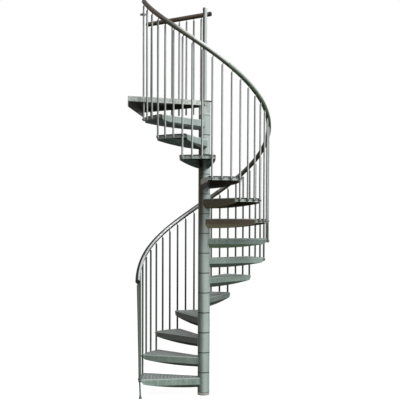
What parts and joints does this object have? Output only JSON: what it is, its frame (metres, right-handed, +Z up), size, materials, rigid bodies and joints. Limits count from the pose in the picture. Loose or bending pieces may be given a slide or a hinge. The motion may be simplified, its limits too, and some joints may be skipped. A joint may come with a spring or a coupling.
{
  "type": "spiral staircase",
  "caption": "Galvanised steel spiral staircase: folded wedge treads on a round centre column, round balusters, a coiling tube handrail and a triangular wall landing with its own level rail",
  "frame": {"origin": "middle of the column's base, on the floor", "axes": "+Z up along the column; -X towards the wall side where the first tread starts and the landing ends; +Y away from the viewer of the picture"},
  "size_m": [1.4968, 1.422, 4.1496],
  "materials": {
    "galvanised_plate": "hot-dip galvanised, matt with faint spangle",
    "baluster_bar": "galvanised tube, satin",
    "rail_tube": "galvanised tube, satin",
    "cap_plastic": "dark moulded end plugs, satin"
  },
  "bodies": {
    "root": {"balusters_01_02": "baluster_bar", "balusters_03_04": "baluster_bar", "balusters_05_06": "baluster_bar", "balusters_07_08": "baluster_bar", "balusters_09_10": "baluster_bar", "balusters_11_12": "baluster_bar", "balusters_13_14": "baluster_bar", "base_plate": "galvanised_plate", "centre_pole": "galvanised_plate", "handrail_01": "rail_tube", "handrail_02": "rail_tube", "handrail_03": "rail_tube", "handrail_04": "rail_tube", "handrail_05": "rail_tube", "handrail_06": "rail_tube", "handrail_07": "rail_tube", "handrail_08": "rail_tube", "handrail_09": "rail_tube", "handrail_10": "rail_tube", "handrail_11": "rail_tube", "handrail_12": "rail_tube", "landing": "galvanised_plate", "landing_balusters": "baluster_bar", "landing_newel_baluster": "baluster_bar", "landing_rail": "rail_tube", "newel_post": "baluster_bar", "rail_end_caps": "cap_plastic", "starter_post": "baluster_bar", "tread_01": "galvanised_plate", "tread_02": "galvanised_plate", "tread_03": "galvanised_plate", "tread_04": "galvanised_plate", "tread_05": "galvanised_plate", "tread_06": "galvanised_plate", "tread_07": "galvanised_plate", "tread_08": "galvanised_plate", "tread_09": "galvanised_plate", "tread_10": "galvanised_plate", "tread_11": "galvanised_plate", "tread_12": "galvanised_plate", "tread_13": "galvanised_plate", "tread_14": "galvanised_plate", "wall_fixing": "baluster_bar"}
  },
  "joints": []
}
